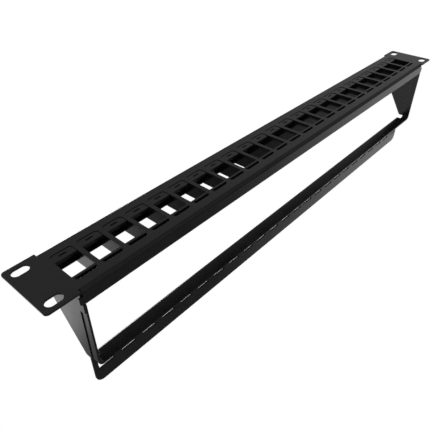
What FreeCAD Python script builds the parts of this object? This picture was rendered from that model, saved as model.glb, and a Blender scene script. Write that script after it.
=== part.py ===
import FreeCAD, Part
import math
import os

# A blank 19-inch, one-unit keystone patch panel with a cable bar behind it. Millimetres.
# +X runs along the panel, +Y to the back of the rack and +Z up.
# The origin is the centre of the rack slot pattern, on the back of the ears, where they meet the rack rails.

# Front panel: one bent steel sheet with a flange along the top and the bottom.
PANEL_WIDTH = 482.6
EAR_HEIGHT = 44.0
EAR_CORNER_R = 2.5
PANEL_SHEET = 1.2
CHANNEL_HEIGHT = 43.1
CHANNEL_HALF = 219.7
FLANGE_DEPTH = 10.0
FLANGE_BEND_R = 2.4
FLANGE_TIP_HALF = 222.3
FLANGE_TIP_FRONT = 3.2
FLANGE_TIP_R = 2.0
EAR_INNER = 220.4

# Rack mounting slots in the ears.
SLOT_SPACING_X = 465.1
SLOT_SPACING_Z = 31.75
SLOT_LENGTH = 10.6
SLOT_R = 3.0

# Ports, and the windows that the panel has for them.
PORT_COUNT = 24
PORT_PITCH = 18.23
WINDOW_WIDTH = 15.0
WINDOW_LOW = -9.1
WINDOW_TOP = 13.5
WINDOW_TOP_R = 2.3
WINDOW_FOOT_R = 0.4
HOOK_SLOT_WIDTH = 14.0
HOOK_SLOT_LOW = -13.0
HOOK_SLOT_TOP = -10.8
HOOK_SLOT_FOOT_R = 1.6
HOOK_SLOT_HEAD_R = 0.3

# Keystone frame: a moulded housing behind each window.
FRAME_WIDTH = 16.8
FRAME_LOW = -14.9
FRAME_TOP = 15.3
FRAME_DEPTH = 9.6
FRAME_CORNER_R = 1.0
PORT_WIDTH = 14.9
PORT_TOP = 7.1
FRAME_FRONT_WALL = 1.3
FRAME_REAR_WALL = 0.9
JACK_FLOOR = -9.7
LATCH_ROOF = 13.3
REAR_DOOR_TOP = 10.7
PLATE_RECESS = 0.4
PLATE_GAP = 0.06
PLATE_BEVEL = 0.3
RELEASE_SLIT_WIDTH = 5.0
RELEASE_SLIT_HEIGHT = 1.1
RELEASE_SLIT_Z = 10.6
HOOK_POCKET_DEPTH = 4.0

# Side brackets: flat gussets at the ends, which carry the cable bar.
BRACKET_SHEET = 0.6
BRACKET_INNER = 220.4
BRACKET_FRONT = 0.9
BRACKET_SHOULDER_Y = 13.0
BRACKET_REAR = 60.2
BRACKET_REAR_TOP = -10.2
BRACKET_REAR_LOW = -15.7
BRACKET_HEEL_Y = 16.0
BRACKET_HEEL_Z = -16.9
BRACKET_FOOT_LOW = -21.7
BRACKET_FOOT_FRONT = 8.9
BRACKET_CORNER_R = 1.0
TAB_LENGTH = 12.0
TAB_FRONT = 1.3
TAB_REAR = 7.7

# Cable bar: a shallow U, two arms and a web, with a slotted shelf folded back from the web's top edge.
BAR_SHEET = 1.4
ARM_FRONT = 9.1
BAR_LOW = -21.9
ARM_TOP = -15.3
BAR_CORNER_R = 4.0
WEB_REAR = 62.7
WEB_TOP_HALF = 214.0
SHELF_TOP = -10.1
SHELF_REAR = 91.6
SHELF_HALF = 219.3
SHELF_BEND_R = 2.5
SHELF_CORNER_R = 6.0
SHELF_FRONT_R = 1.0
TIE_SLOT_LENGTH = 12.0
TIE_SLOT_WIDTH = 4.0
TIE_SLOT_REAR = 80.3
TIE_SLOT_R = 0.8
END_SLIT_OUTER = 215.8

V = FreeCAD.Vector
AXIS_X = V(1, 0, 0)
AXIS_Y = V(0, 1, 0)
AXIS_Z = V(0, 0, 1)

PORT_CENTRES = [(i - (PORT_COUNT - 1) / 2) * PORT_PITCH for i in range(PORT_COUNT)]
BRACKET_OUTER = BRACKET_INNER + BRACKET_SHEET
ARM_OUTER = BRACKET_INNER


def block(x0, x1, y0, y1, z0, z1):
    """An upright box between two corners."""
    return Part.makeBox(x1 - x0, y1 - y0, z1 - z0, V(x0, y0, z0))


def outline(points):
    """A closed wire through points (a, b, corner radius), as edges in the plane's own a and b."""
    count = len(points)
    trims = []
    for i, (a, b, radius) in enumerate(points):
        here = V(a, b, 0)
        if radius == 0:
            trims.append((here, here, here, 0))
            continue
        before = V(*points[i - 1][:2], 0) - here
        after = V(*points[(i + 1) % count][:2], 0) - here
        before.normalize()
        after.normalize()
        half_turn = before.getAngle(after) / 2
        setback = radius / math.tan(half_turn)
        bisector = before + after
        bisector.normalize()
        centre = here + bisector * (radius / math.sin(half_turn))
        trims.append((here + before * setback, centre - bisector * radius, here + after * setback, radius))
    edges = []
    for i, (start, middle, end, radius) in enumerate(trims):
        if radius > 0:
            edges.append(Part.Arc(start, middle, end).toShape())
        following = trims[(i + 1) % count][0]
        edges.append(Part.makeLine(end, following))
    return Part.Wire(edges)


def prism_y(points, y0, y1):
    """An outline in X and Z, extruded from y0 to y1."""
    face = Part.Face(outline(points))
    face.rotate(V(0, 0, 0), AXIS_X, 90)
    face.translate(V(0, y0, 0))
    return face.extrude(V(0, y1 - y0, 0))


def prism_z(points, z0, z1):
    """An outline in X and Y, extruded from z0 to z1."""
    face = Part.Face(outline(points))
    face.translate(V(0, 0, z0))
    return face.extrude(V(0, 0, z1 - z0))


def prism_x(points, x0, x1):
    """An outline in Y and Z, extruded from x0 to x1."""
    face = Part.Face(outline(points))
    face.rotate(V(0, 0, 0), V(1, 1, 1), 120)
    face.translate(V(x0, 0, 0))
    return face.extrude(V(x1 - x0, 0, 0))


def cut_all(shape, tools):
    """The shape with every tool taken out of it in one operation."""
    return shape.cut(Part.makeCompound(tools))


def save(shape, name):
    """Writes one node, after tidying its faces."""
    clean = shape.removeSplitter()
    if not clean.isValid():
        raise ValueError(name + " is not a valid solid")
    clean.exportStep("parts/" + name + ".step")


def slot_x(x, z, length, radius, y0, y1):
    """A round-ended slot along X, through the sheet."""
    core = block(x - length / 2 + radius, x + length / 2 - radius, y0, y1, z - radius, z + radius)
    ends = []
    for side in (-1, 1):
        centre = V(x + side * (length / 2 - radius), y0, z)
        ends.append(Part.makeCylinder(radius, y1 - y0, centre, AXIS_Y))
    return core.fuse(ends)


def window(x, low, top, width, low_r, top_r, y0, y1):
    """A window in the panel, with one corner radius at its foot and another at its head."""
    half = width / 2
    points = [(x - half, low, low_r), (x + half, low, low_r), (x + half, top, top_r), (x - half, top, top_r)]
    return prism_y(points, y0, y1)


def make_front_panel():
    """The bent sheet: ears, flanged middle, port windows, hook slots and rack slots."""
    half_height = CHANNEL_HEIGHT / 2
    inner_r = FLANGE_BEND_R - PANEL_SHEET
    back = FLANGE_DEPTH - PANEL_SHEET
    outer = [(-PANEL_SHEET, -half_height, FLANGE_BEND_R), (back, -half_height, 0),
             (back, half_height, 0), (-PANEL_SHEET, half_height, FLANGE_BEND_R)]
    inside = half_height - PANEL_SHEET
    past = back + PANEL_SHEET
    inner = [(0, -inside, inner_r), (past, -inside, 0), (past, inside, 0), (0, inside, inner_r)]
    channel = prism_x(outer, -CHANNEL_HALF, CHANNEL_HALF)
    channel = channel.cut(prism_x(inner, -CHANNEL_HALF, CHANNEL_HALF))

    ear_half = EAR_HEIGHT / 2
    bend_line = half_height - FLANGE_BEND_R
    pieces = [block(-EAR_INNER, EAR_INNER, -PANEL_SHEET, 0, -bend_line, bend_line)]
    for side in (-1, 1):
        x0 = side * EAR_INNER
        x1 = side * PANEL_WIDTH / 2
        ear = [(x0, -ear_half, 0), (x1, -ear_half, EAR_CORNER_R),
               (x1, ear_half, EAR_CORNER_R), (x0, ear_half, 0)]
        pieces.append(prism_y(ear, -PANEL_SHEET, 0))
        x0 = side * (CHANNEL_HALF - FLANGE_TIP_R)
        x1 = side * FLANGE_TIP_HALF
        tip = [(x0, FLANGE_TIP_FRONT, 0), (x1, FLANGE_TIP_FRONT, 0), (x1, back, FLANGE_TIP_R), (x0, back, 0)]
        pieces.append(prism_z(tip, -half_height, -inside))
        pieces.append(prism_z(tip, inside, half_height))
    panel = channel.fuse(pieces)

    front = -2 * PANEL_SHEET
    behind = PANEL_SHEET
    holes = []
    for x in PORT_CENTRES:
        holes.append(window(x, WINDOW_LOW, WINDOW_TOP, WINDOW_WIDTH,
                            WINDOW_FOOT_R, WINDOW_TOP_R, front, behind))
        holes.append(window(x, HOOK_SLOT_LOW, HOOK_SLOT_TOP, HOOK_SLOT_WIDTH,
                            HOOK_SLOT_FOOT_R, HOOK_SLOT_HEAD_R, front, behind))
    for side_x in (-1, 1):
        for side_z in (-1, 1):
            x = side_x * SLOT_SPACING_X / 2
            z = side_z * SLOT_SPACING_Z / 2
            holes.append(slot_x(x, z, SLOT_LENGTH, SLOT_R, front, behind))
    return cut_all(panel, holes)


def make_keystone_frame():
    """One moulded port housing at x = 0: walls, latch space, and a head plate in the window."""
    half = FRAME_WIDTH / 2
    shell = prism_y([(-half, FRAME_LOW, FRAME_CORNER_R), (half, FRAME_LOW, FRAME_CORNER_R),
                     (half, FRAME_TOP, FRAME_CORNER_R), (-half, FRAME_TOP, FRAME_CORNER_R)], 0, FRAME_DEPTH)

    plate_half = WINDOW_WIDTH / 2 - PLATE_GAP
    plate_front = PLATE_RECESS - PANEL_SHEET
    head_r = WINDOW_TOP_R - PLATE_GAP
    head_top = WINDOW_TOP - PLATE_GAP
    plate = prism_y([(-plate_half, PORT_TOP, 0), (plate_half, PORT_TOP, 0),
                     (plate_half, head_top, head_r), (-plate_half, head_top, head_r)], plate_front, 0)
    bevel = prism_x([(plate_front, PORT_TOP, 0), (plate_front + PLATE_BEVEL, PORT_TOP, 0),
                     (plate_front, PORT_TOP + PLATE_BEVEL, 0)], -half, half)
    body = shell.fuse(plate.cut(bevel))

    port_half = PORT_WIDTH / 2
    mouth = block(-port_half, port_half, -PANEL_SHEET, FRAME_FRONT_WALL, WINDOW_LOW, PORT_TOP)
    jack_space = block(-port_half, port_half, FRAME_FRONT_WALL, FRAME_DEPTH, JACK_FLOOR, REAR_DOOR_TOP)
    latch_space = block(-port_half, port_half, FRAME_FRONT_WALL, FRAME_DEPTH - FRAME_REAR_WALL,
                        JACK_FLOOR, LATCH_ROOF)
    slit_half = RELEASE_SLIT_WIDTH / 2
    slit_low = RELEASE_SLIT_Z - RELEASE_SLIT_HEIGHT / 2
    release_slit = block(-slit_half, slit_half, -PANEL_SHEET, FRAME_FRONT_WALL,
                         slit_low, slit_low + RELEASE_SLIT_HEIGHT)
    hook_pocket = window(0, HOOK_SLOT_LOW, HOOK_SLOT_TOP, HOOK_SLOT_WIDTH,
                         HOOK_SLOT_FOOT_R, HOOK_SLOT_HEAD_R, 0, HOOK_POCKET_DEPTH)
    return cut_all(body, [mouth, jack_space, latch_space, release_slit, hook_pocket])


def make_bracket(side):
    """A gusset at one end: a flat plate, with two tabs folded in behind the panel's flanges."""
    inside = CHANNEL_HEIGHT / 2 - PANEL_SHEET
    corner = BRACKET_CORNER_R
    plate = prism_x([(BRACKET_FRONT, -inside, 0), (BRACKET_FOOT_FRONT, -inside, 0),
                     (BRACKET_FOOT_FRONT, BRACKET_FOOT_LOW, 0), (BRACKET_HEEL_Y, BRACKET_FOOT_LOW, corner),
                     (BRACKET_HEEL_Y, BRACKET_HEEL_Z, corner), (BRACKET_REAR, BRACKET_REAR_LOW, 0),
                     (BRACKET_REAR, BRACKET_REAR_TOP, corner), (BRACKET_SHOULDER_Y, inside, corner),
                     (BRACKET_FRONT, inside, 0)], BRACKET_INNER, BRACKET_OUTER)
    tabs = []
    for level in (-inside, inside - BRACKET_SHEET):
        tabs.append(block(BRACKET_INNER - TAB_LENGTH, BRACKET_OUTER, TAB_FRONT, TAB_REAR,
                          level, level + BRACKET_SHEET))
    bracket = plate.fuse(tabs)
    if side < 0:
        bracket = bracket.mirror(V(0, 0, 0), AXIS_X)
    return bracket


def make_cable_bar():
    """The cable bar: arms and web in one bent strip, and the slotted shelf folded back from the web."""
    inner_r = BAR_CORNER_R - BAR_SHEET
    outer = [(-ARM_OUTER, ARM_FRONT, 0), (-ARM_OUTER, WEB_REAR, BAR_CORNER_R),
             (ARM_OUTER, WEB_REAR, BAR_CORNER_R), (ARM_OUTER, ARM_FRONT, 0)]
    arm_inner = ARM_OUTER - BAR_SHEET
    web_front = WEB_REAR - BAR_SHEET
    before = ARM_FRONT - BAR_SHEET
    inner = [(-arm_inner, before, 0), (-arm_inner, web_front, inner_r),
             (arm_inner, web_front, inner_r), (arm_inner, before, 0)]
    strip = prism_z(outer, BAR_LOW, ARM_TOP).cut(prism_z(inner, BAR_LOW, ARM_TOP))

    shelf_low = SHELF_TOP - BAR_SHEET
    bend_outer = SHELF_BEND_R
    bend_inner = SHELF_BEND_R - BAR_SHEET
    riser = prism_x([(web_front, ARM_TOP, 0), (WEB_REAR, ARM_TOP, 0), (WEB_REAR, shelf_low, bend_inner),
                     (SHELF_REAR - SHELF_CORNER_R, shelf_low, 0), (SHELF_REAR - SHELF_CORNER_R, SHELF_TOP, 0),
                     (web_front, SHELF_TOP, bend_outer)], -WEB_TOP_HALF, WEB_TOP_HALF)
    shelf_front = WEB_REAR + bend_outer
    shelf = prism_z([(-SHELF_HALF, shelf_front, SHELF_FRONT_R), (SHELF_HALF, shelf_front, SHELF_FRONT_R),
                     (SHELF_HALF, SHELF_REAR, SHELF_CORNER_R), (-SHELF_HALF, SHELF_REAR, SHELF_CORNER_R)],
                    shelf_low, SHELF_TOP)
    bar = strip.fuse([riser, shelf])

    slots = []
    tie_front = TIE_SLOT_REAR - TIE_SLOT_WIDTH
    below = shelf_low - BAR_SHEET
    above = SHELF_TOP + BAR_SHEET
    half = TIE_SLOT_LENGTH / 2
    for x in PORT_CENTRES:
        corners = [(x - half, tie_front), (x + half, tie_front),
                   (x + half, TIE_SLOT_REAR), (x - half, TIE_SLOT_REAR)]
        slots.append(prism_z([(a, b, TIE_SLOT_R) for a, b in corners], below, above))
    slit_front = shelf_front - BAR_SHEET
    for x0, x1 in ((-END_SLIT_OUTER, -WEB_TOP_HALF), (WEB_TOP_HALF, END_SLIT_OUTER)):
        slots.append(block(x0, x1, slit_front, tie_front + TIE_SLOT_R, below, above))
    return cut_all(bar, slots)


def main():
    os.makedirs("parts", exist_ok=True)
    save(make_front_panel(), "front_panel")
    frame = make_keystone_frame()
    for number, x in enumerate(PORT_CENTRES, start=1):
        placed = frame.copy()
        placed.translate(V(x, 0, 0))
        save(placed, f"keystone_frame_{number:02d}")
    save(make_bracket(-1), "left_bracket")
    save(make_bracket(1), "right_bracket")
    save(make_cable_bar(), "cable_bar")


main()
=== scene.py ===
import math

import bmesh
import bpy
from mathutils import Matrix, Vector


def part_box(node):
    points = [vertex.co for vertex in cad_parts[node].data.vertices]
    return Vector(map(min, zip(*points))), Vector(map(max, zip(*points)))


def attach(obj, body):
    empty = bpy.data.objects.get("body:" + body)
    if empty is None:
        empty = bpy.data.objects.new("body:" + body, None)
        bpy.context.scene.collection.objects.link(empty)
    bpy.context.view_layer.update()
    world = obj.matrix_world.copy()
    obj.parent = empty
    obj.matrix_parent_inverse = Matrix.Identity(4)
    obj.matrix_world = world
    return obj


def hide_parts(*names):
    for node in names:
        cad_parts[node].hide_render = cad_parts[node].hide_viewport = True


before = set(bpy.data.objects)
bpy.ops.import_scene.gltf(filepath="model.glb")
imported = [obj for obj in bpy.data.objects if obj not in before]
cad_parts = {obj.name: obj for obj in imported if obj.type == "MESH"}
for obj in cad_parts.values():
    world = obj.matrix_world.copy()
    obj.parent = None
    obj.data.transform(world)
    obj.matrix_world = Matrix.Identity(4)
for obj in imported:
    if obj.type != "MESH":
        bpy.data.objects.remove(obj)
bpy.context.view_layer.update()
scene = bpy.context.scene

MM = 0.001

# The camera stands in front of the panel, to its left and below it. The panel's front points up in the picture.
CAMERA_AT = Vector((-0.29948, -0.17765, -0.18326))
CAMERA_AIM = Vector((-0.12693, -0.00120, -0.03207))
CAMERA_UP = Vector((0.0, -1.0, 0.0))
CAMERA_LENS = 38.88
CAMERA_SENSOR = 36.0

FLOOR_Z = -0.45
FLOOR_SIZE = 14.0
FLOOR_DARK = (0.82, 0.82, 0.82, 1.0)
FLOOR_LIGHT = (0.86, 0.86, 0.86, 1.0)
FLOOR_PATCH_SCALE = 1.5

# The floor's own light keeps it pale. It grows between these two distances, so that the floor has no far edge.
FLOOR_NEAR = 1.2
FLOOR_FAR = 5.0
FLOOR_LIFT_NEAR = 0.3
FLOOR_LIFT_FAR = 0.85

# The black surfaces: slow patches of tone and gloss, and specks that are coarser than the grain.
PATCH_SCALE = 35.0
SPECK_SCALE = 0.35
SPECK_GLOSS = 0.02
IOR = 1.5

# The room that the glossy black surfaces reflect. Each area has an axis, and stops: the cosine of an angle from
# the axis, and the brightness there. A veil has the same form, and the area it belongs to is multiplied by it.
RIGHT_WALL = (Vector((1.0, 0.5, 0.1)),
              [(0.75, 0.0), (0.80, 0.06), (0.86, 0.25), (0.90, 0.55), (0.93, 0.70)])
LEFT_LAMP = (Vector((-0.93, 0.36, 0.32)),
             [(0.95, 0.0), (0.965, 0.08), (0.99, 0.58)])
REAR_LAMP = (Vector((-0.22, 0.62, 0.75)),
             [(0.92, 0.0), (0.9465, 0.08), (0.961, 0.155), (0.9755, 0.40), (0.986, 0.9)])
REAR_VEIL = (Vector((0.0, -0.66, 0.75)),
             [(-0.10, 0.4), (-0.07, 0.68), (-0.035, 1.0)])
FRONT_WALL = (Vector((0.0, -1.0, 0.0)),
              [(-0.10, 0.0), (0.25, 0.26)])
FRONT_VEIL = (Vector((0.0, 0.66, 0.75)),
              [(-0.45, 0.5), (-0.28, 0.35), (-0.14, 0.0), (-0.06, 0.3),
               (-0.01, 1.1), (0.05, 1.08), (0.12, 0.85), (0.22, 0.4)])
ROOM_DIM = (0.09, 0.09, 0.09, 1.0)
WHITE = (1.0, 1.0, 1.0, 1.0)


def link(obj):
    scene.collection.objects.link(obj)
    return obj


# ---------------------------------------------------------------- materials

class Nodes:
    """A short way to build a node tree: each call adds one node and returns it."""

    def __init__(self, tree):
        self.tree = tree
        tree.nodes.clear()

    def add(self, kind, settings=None, values=None):
        node = self.tree.nodes.new(kind)
        for key, value in (settings or {}).items():
            setattr(node, key, value)
        for key, value in (values or {}).items():
            if isinstance(value, bpy.types.NodeSocket):
                self.tree.links.new(value, node.inputs[key])
            else:
                node.inputs[key].default_value = value
        return node


def noise(nodes, where, scale, detail=3.0, rough=0.55):
    made = nodes.add("ShaderNodeTexNoise", None, {
        "Vector": where, "Scale": scale, "Detail": detail, "Roughness": rough})
    return made.outputs["Fac"]


def remap(nodes, value, low, high, from_low=0.3, from_high=0.7):
    made = nodes.add("ShaderNodeMapRange", {"clamp": True}, {
        "Value": value, "From Min": from_low, "From Max": from_high, "To Min": low, "To Max": high})
    return made.outputs["Result"]


def mix(nodes, kind, first, second, factor=1.0):
    """Two colours mixed, added or multiplied. The Mix node's colour sockets are 6, 7 and output 2."""
    mixed = nodes.add("ShaderNodeMix", {"data_type": "RGBA", "blend_type": kind},
                      {"Factor": factor, 6: first, 7: second})
    return mixed.outputs[2]


def satin_black(name, dark, light, rough_low, rough_high, grain_scale, grain_height, grain_strength):
    """Satin black: a fine grain in the surface, and slow changes of tone and gloss over it."""
    material = bpy.data.materials.new(name)
    material.use_nodes = True
    nodes = Nodes(material.node_tree)
    where = nodes.add("ShaderNodeTexCoord").outputs["Object"]
    patches = noise(nodes, where, PATCH_SCALE)
    grain = noise(nodes, where, grain_scale, detail=4.0, rough=0.6)
    specks = noise(nodes, where, grain_scale * SPECK_SCALE, detail=2.0)
    tone = mix(nodes, "MIX", (*dark, 1.0), (*light, 1.0), factor=remap(nodes, patches, 0.0, 1.0))
    rough = nodes.add("ShaderNodeMath", {"operation": "ADD"}, {
        0: remap(nodes, patches, rough_low, rough_high),
        1: remap(nodes, specks, -SPECK_GLOSS, SPECK_GLOSS)})
    bump = nodes.add("ShaderNodeBump", None, {
        "Strength": grain_strength, "Distance": grain_height, "Height": grain})
    shader = nodes.add("ShaderNodeBsdfPrincipled", None, {
        "Base Color": tone, "Roughness": rough.outputs[0], "Normal": bump.outputs["Normal"], "IOR": IOR})
    nodes.add("ShaderNodeOutputMaterial", None, {"Surface": shader.outputs["BSDF"]})
    return material


PAINT = satin_black("black_paint", dark=(0.0045, 0.0045, 0.005), light=(0.0075, 0.0075, 0.008),
                    rough_low=0.16, rough_high=0.22,
                    grain_scale=1100.0, grain_height=0.02 * MM, grain_strength=0.25)
PLASTIC = satin_black("black_plastic", dark=(0.003, 0.003, 0.0034), light=(0.006, 0.006, 0.0065),
                      rough_low=0.12, rough_high=0.18,
                      grain_scale=1700.0, grain_height=0.02 * MM, grain_strength=0.3)


def pale_floor():
    """A pale floor that fades into the backdrop far away, and that a camera below it sees through."""
    material = bpy.data.materials.new("pale_floor")
    material.use_nodes = True
    nodes = Nodes(material.node_tree)
    where = nodes.add("ShaderNodeTexCoord").outputs["Object"]
    tone = mix(nodes, "MIX", FLOOR_DARK, FLOOR_LIGHT, factor=noise(nodes, where, FLOOR_PATCH_SCALE))
    away = nodes.add("ShaderNodeVectorMath", {"operation": "LENGTH"}, {0: where})
    lift = remap(nodes, away.outputs["Value"], FLOOR_LIFT_NEAR, FLOOR_LIFT_FAR, FLOOR_NEAR, FLOOR_FAR)
    shader = nodes.add("ShaderNodeBsdfPrincipled", None, {
        "Base Color": tone, "Roughness": 0.9, "Emission Color": WHITE, "Emission Strength": lift})
    clear = nodes.add("ShaderNodeBsdfTransparent")
    below = nodes.add("ShaderNodeNewGeometry").outputs["Backfacing"]
    both = nodes.add("ShaderNodeMixShader", None,
                     {0: below, 1: shader.outputs["BSDF"], 2: clear.outputs["BSDF"]})
    nodes.add("ShaderNodeOutputMaterial", None, {"Surface": both.outputs[0]})
    return material


# ---------------------------------------------------------------- pieces

WELD = 0.001 * MM
FLAT = math.radians(0.4)
SHARP = math.radians(35.0)

# How far each part's sharp edges are rounded.
PANEL_EDGE = 0.12 * MM
BRACKET_EDGE = 0.08 * MM
BAR_EDGE = 0.1 * MM
PORT_EDGE = 0.06 * MM


def softened_mesh(node_name, mesh_name):
    """A CAD node's mesh, welded and with its flat faces made whole, ready to have its edges rounded."""
    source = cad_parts[node_name].data
    bm = bmesh.new()
    bm.from_mesh(source)
    for layer in list(bm.loops.layers.float_vector):
        bm.loops.layers.float_vector.remove(layer)
    bmesh.ops.remove_doubles(bm, verts=bm.verts, dist=WELD)
    bmesh.ops.dissolve_limit(bm, angle_limit=FLAT, verts=bm.verts, edges=bm.edges)
    bmesh.ops.recalc_face_normals(bm, faces=bm.faces)
    for face in bm.faces:
        face.smooth = True
    mesh = bpy.data.meshes.new(mesh_name)
    bm.to_mesh(mesh)
    bm.free()
    return mesh


def dress(piece, node_name, material, edge):
    """Rounds the piece's sharp edges, and makes it ride and stand for its CAD node."""
    piece.data.materials.clear()
    piece.data.materials.append(material)
    bevel = piece.modifiers.new("rounded_edges", "BEVEL")
    bevel.width = edge
    bevel.segments = 2
    bevel.limit_method = "ANGLE"
    bevel.angle_limit = SHARP
    bevel.use_clamp_overlap = False
    bevel.miter_outer = "MITER_SHARP"
    normals = piece.modifiers.new("flat_faces", "WEIGHTED_NORMAL")
    normals.mode = "FACE_AREA"
    normals.keep_sharp = False
    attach(piece, "root")
    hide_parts(node_name)


def painted_piece(node_name, piece_name, edge):
    """A painted sheet-metal piece that stands for one CAD node."""
    piece = link(bpy.data.objects.new(piece_name, softened_mesh(node_name, piece_name)))
    dress(piece, node_name, PAINT, edge)


painted_piece("front_panel", "painted_panel", PANEL_EDGE)
painted_piece("left_bracket", "painted_left_bracket", BRACKET_EDGE)
painted_piece("right_bracket", "painted_right_bracket", BRACKET_EDGE)
painted_piece("cable_bar", "painted_cable_bar", BAR_EDGE)

# The 24 port housings share one mesh, because they are the same moulding.
frame_names = sorted(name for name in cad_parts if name.startswith("keystone_frame_"))
housing = softened_mesh(frame_names[0], "port_housing")
first_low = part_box(frame_names[0])[0]
for node_name in frame_names:
    piece = link(bpy.data.objects.new(node_name.replace("keystone_frame", "port_housing"), housing))
    piece.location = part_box(node_name)[0] - first_low
    dress(piece, node_name, PLASTIC, PORT_EDGE)

for name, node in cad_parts.items():
    node.data.materials.clear()
    node.data.materials.append(PLASTIC if name in frame_names else PAINT)


# ---------------------------------------------------------------- studio

def soft_light(name, at, aim, size, power):
    """A square lamp at one point, facing another."""
    light = bpy.data.lights.new(name, "AREA")
    light.shape = "SQUARE"
    light.size = size
    light.energy = power
    obj = link(bpy.data.objects.new(name, light))
    obj.location = at
    obj.rotation_mode = "QUATERNION"
    obj.rotation_quaternion = (Vector(aim) - Vector(at)).to_track_quat("-Z", "Y")


def glow(nodes, direction, area):
    """An area's or a veil's brightness in the direction that a ray looks."""
    axis, stops = area
    toward = nodes.add("ShaderNodeVectorMath", {"operation": "DOT_PRODUCT"},
                       {0: direction, 1: axis.normalized()})
    first, last = stops[0][0], stops[-1][0]
    spread = nodes.add("ShaderNodeMapRange", {"clamp": True},
                       {"Value": toward.outputs["Value"], "From Min": first, "From Max": last})
    ramp = nodes.add("ShaderNodeValToRGB", None, {"Fac": spread.outputs["Result"]})
    points = ramp.color_ramp.elements
    while len(points) < len(stops):
        points.new(0.5)
    for point, (cosine, level) in zip(points, stops):
        point.position = (cosine - first) / (last - first)
        point.color = (level, level, level, 1.0)
    return ramp.outputs["Color"]


def studio_world():
    """A white backdrop for the camera, and for the reflections a dim room with soft bright areas."""
    world = bpy.data.worlds.new("studio")
    scene.world = world
    world.use_nodes = True
    nodes = Nodes(world.node_tree)
    direction = nodes.add("ShaderNodeTexCoord").outputs["Generated"]
    front = mix(nodes, "MULTIPLY", glow(nodes, direction, FRONT_WALL), glow(nodes, direction, FRONT_VEIL))
    rear = mix(nodes, "MULTIPLY", glow(nodes, direction, REAR_LAMP), glow(nodes, direction, REAR_VEIL))
    total = ROOM_DIM
    for area in (glow(nodes, direction, RIGHT_WALL), glow(nodes, direction, LEFT_LAMP), rear, front):
        total = mix(nodes, "ADD", total, area)
    room = nodes.add("ShaderNodeBackground", None, {"Color": total, "Strength": 1.0})
    backdrop = nodes.add("ShaderNodeBackground", None, {"Color": WHITE, "Strength": 1.0})
    seen = nodes.add("ShaderNodeLightPath").outputs["Is Camera Ray"]
    both = nodes.add("ShaderNodeMixShader", None, {0: seen, 1: room.outputs[0], 2: backdrop.outputs[0]})
    nodes.add("ShaderNodeOutputWorld", None, {"Surface": both.outputs[0]})


studio_world()
soft_light("top_light", at=(0.1, 0.1, 1.6), aim=(0.0, 0.0, 0.0), size=1.0, power=22.0)

bpy.ops.mesh.primitive_grid_add(x_subdivisions=2, y_subdivisions=2, size=FLOOR_SIZE,
                                location=(0.0, 0.0, FLOOR_Z))
floor = bpy.context.object
floor.name = "floor"
floor.data.materials.append(pale_floor())
floor.visible_glossy = False

camera_data = bpy.data.cameras.new("camera")
camera_data.sensor_width = CAMERA_SENSOR
camera_data.lens = CAMERA_LENS
camera_data.clip_start = 0.005
camera_data.clip_end = 50.0
camera = link(bpy.data.objects.new("camera", camera_data))
ahead = (CAMERA_AIM - CAMERA_AT).normalized()
right = ahead.cross(CAMERA_UP).normalized()
up = right.cross(ahead)
camera.rotation_mode = "QUATERNION"
camera.rotation_quaternion = Matrix((right, up, -ahead)).transposed().to_quaternion()
camera.location = CAMERA_AT
scene.camera = camera

scene.view_settings.view_transform = "Standard"
scene.view_settings.look = "None"
